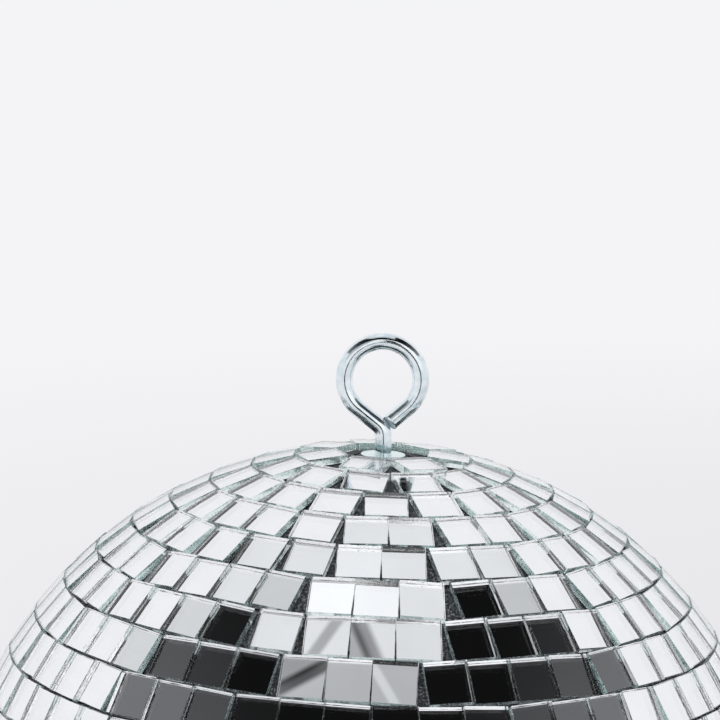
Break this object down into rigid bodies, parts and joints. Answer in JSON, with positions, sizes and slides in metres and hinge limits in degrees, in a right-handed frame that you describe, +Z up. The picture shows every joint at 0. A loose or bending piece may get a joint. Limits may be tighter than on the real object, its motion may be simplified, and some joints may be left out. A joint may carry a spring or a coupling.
{
  "type": "mirror ball",
  "caption": "Hanging mirror ball: a hollow core covered with rows of small square mirror tiles, turning on a bent-wire eye bolt at its pole.",
  "frame": {"origin": "point on the inside of the eye's top where a hook bears, on the ball's turning axis", "axes": "+Z up along the turning axis; the eye's ring lies in the XZ plane; the front is towards -Y"},
  "size_m": [0.2002, 0.2004, 0.2275],
  "materials": {
    "mirror_tile": "silvered back under clear glass, snapped edges slightly green",
    "mirror_adhesive": "dark grey, dull and grainy",
    "core_plastic": "moulded, dull black",
    "seam_glue": "clear yellowish glue",
    "zinc_wire": "bright blue-white zinc plating",
    "zinc_washer": "bright zinc plating",
    "zinc_nut": "zinc plating"
  },
  "bodies": {
    "hanger": {"eye_bolt": "zinc_wire", "top_collar": "zinc_washer", "inner_washer": "zinc_washer", "hex_nut": "zinc_nut", "jam_nut": "zinc_nut"},
    "ball": {"core_upper_shell": "core_plastic", "core_lower_shell": "core_plastic", "seam_glue": "seam_glue", "bottom_plug": "core_plastic", "adhesive_upper": "mirror_adhesive", "adhesive_lower": "mirror_adhesive", "mirror_row_01": "mirror_tile", "mirror_row_02": "mirror_tile", "mirror_row_03": "mirror_tile", "mirror_row_04": "mirror_tile", "mirror_row_05": "mirror_tile", "mirror_row_06": "mirror_tile", "mirror_row_07": "mirror_tile", "mirror_row_08": "mirror_tile", "mirror_row_09": "mirror_tile", "mirror_row_10": "mirror_tile", "mirror_row_11": "mirror_tile", "mirror_row_12": "mirror_tile", "mirror_row_13": "mirror_tile", "mirror_row_14": "mirror_tile", "mirror_row_15": "mirror_tile", "mirror_row_16": "mirror_tile", "mirror_row_17": "mirror_tile", "mirror_row_18": "mirror_tile", "mirror_row_19": "mirror_tile", "mirror_row_20": "mirror_tile", "mirror_row_21": "mirror_tile", "mirror_row_22": "mirror_tile", "mirror_row_23": "mirror_tile", "mirror_row_24": "mirror_tile", "mirror_row_25": "mirror_tile", "mirror_row_26": "mirror_tile", "mirror_row_27": "mirror_tile", "mirror_row_28": "mirror_tile", "mirror_tile_bottom": "mirror_tile"}
  },
  "joints": [
    {"name": "ball_turn", "type": "hinge", "parent": "hanger", "child": "ball", "pos_m": [0, 0, -0.12345], "axis": [0, 0, 1], "continuous": true}
  ]
}
